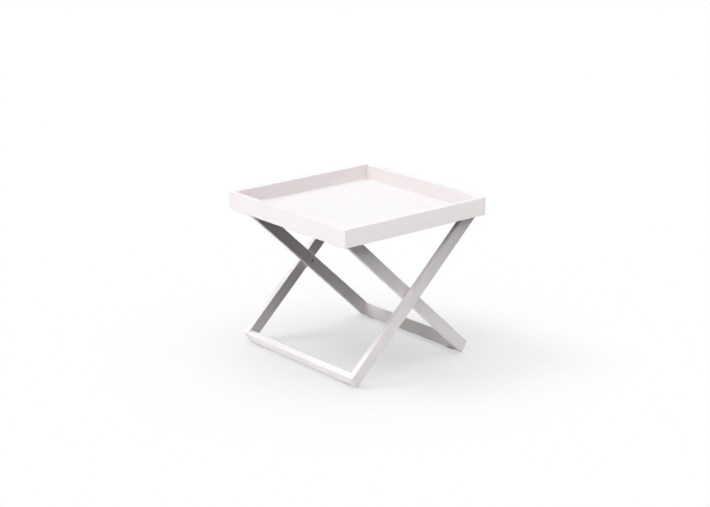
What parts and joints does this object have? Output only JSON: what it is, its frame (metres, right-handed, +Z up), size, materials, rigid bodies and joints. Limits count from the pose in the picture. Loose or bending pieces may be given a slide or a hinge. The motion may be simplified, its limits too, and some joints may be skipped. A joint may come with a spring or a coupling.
{
  "type": "tray top side table",
  "caption": "Low square side table: a white tray with a raised rim that lifts off a folding X stand of flat tube frames, which turn on a pivot at each side.",
  "frame": {"origin": "on the floor, under the middle of the tray", "axes": "+Z up; the stand's X shows from the front, which is -Y; the outer frame's top is on the +X side and its foot rail on the -X side"},
  "size_m": [0.5, 0.5, 0.45],
  "materials": {
    "white_coat": "satin white powder coat",
    "bare_aluminium": "satin",
    "nylon": "matte",
    "pad_rubber": "matte",
    "stainless": "satin"
  },
  "bodies": {
    "outer_frame": {"outer_leg_front": "white_coat", "outer_leg_rear": "white_coat", "outer_foot_rail": "white_coat", "outer_top_rail": "white_coat", "outer_leg_plugs": "nylon", "outer_glides": "nylon", "pivot_inserts": "stainless", "pivot_bolts": "white_coat", "pivot_head_washers": "nylon", "pivot_spacers": "nylon"},
    "inner_frame": {"inner_leg_front": "white_coat", "inner_leg_rear": "white_coat", "inner_foot_rail": "white_coat", "inner_top_rail": "white_coat", "inner_leg_plugs": "nylon", "inner_glides": "nylon", "pivot_bushes": "nylon"},
    "tray": {"tray_panel": "white_coat", "tray_rim_front": "white_coat", "tray_rim_rear": "white_coat", "tray_rim_left": "white_coat", "tray_rim_right": "white_coat", "rim_corner_keys": "bare_aluminium", "tray_ledge_front": "white_coat", "tray_ledge_rear": "white_coat", "tray_ledge_left": "white_coat", "tray_ledge_right": "white_coat", "tray_bearer_left": "white_coat", "tray_bearer_right": "white_coat", "tray_stop_left": "white_coat", "tray_stop_right": "white_coat", "rest_pads": "pad_rubber", "panel_studs": "stainless", "panel_nuts": "stainless"}
  },
  "joints": [
    {"name": "stand_fold", "type": "hinge", "parent": "outer_frame", "child": "inner_frame", "pos_m": [0, 0, 0.21166], "axis": [0, 1, 0], "range_deg": [0, 84]},
    {"name": "tray_lift", "type": "slide", "parent": "outer_frame", "child": "tray", "axis": [0, 0, 1], "range_m": [0, 0.367]}
  ],
  "couplings": [
    {"joint": "tray_lift", "follows": "stand_fold", "m_per_rad": 0.25}
  ]
}
